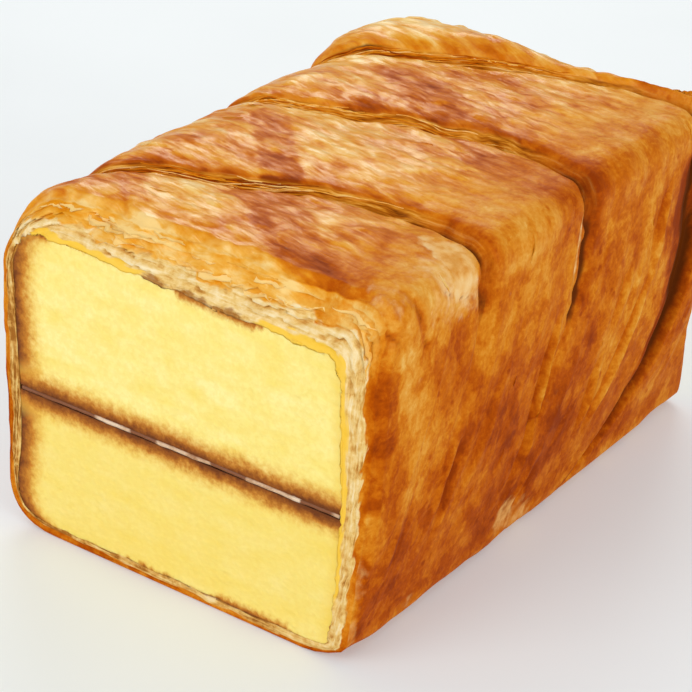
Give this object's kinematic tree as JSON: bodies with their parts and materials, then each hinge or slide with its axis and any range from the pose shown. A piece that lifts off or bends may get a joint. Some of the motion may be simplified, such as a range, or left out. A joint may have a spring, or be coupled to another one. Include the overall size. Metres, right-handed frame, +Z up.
{
  "type": "puff pastry wrapped sponge cake loaf",
  "caption": "Loaf of layered yellow sponge with a thin cream seam, wrapped in slashed golden-brown puff pastry and cut square at the ends, resting on its flat underside.",
  "frame": {"origin": "on the flat underside, below the middle of the loaf's box", "axes": "+Z up; +Y along the loaf, from the front cut face to the back cut face; +X to the right along the front cut face"},
  "size_m": [0.1119, 0.158, 0.0963],
  "materials": {
    "pastry": "baked, egg-washed puff pastry with a soft gloss",
    "sponge": "matt fine sponge crumb, browned at its skin",
    "cream": "satin buttercream"
  },
  "bodies": {
    "root": {"pastry_wrap": "pastry", "sponge_upper": "sponge", "sponge_lower": "sponge", "cream_layer": "cream"}
  },
  "joints": []
}
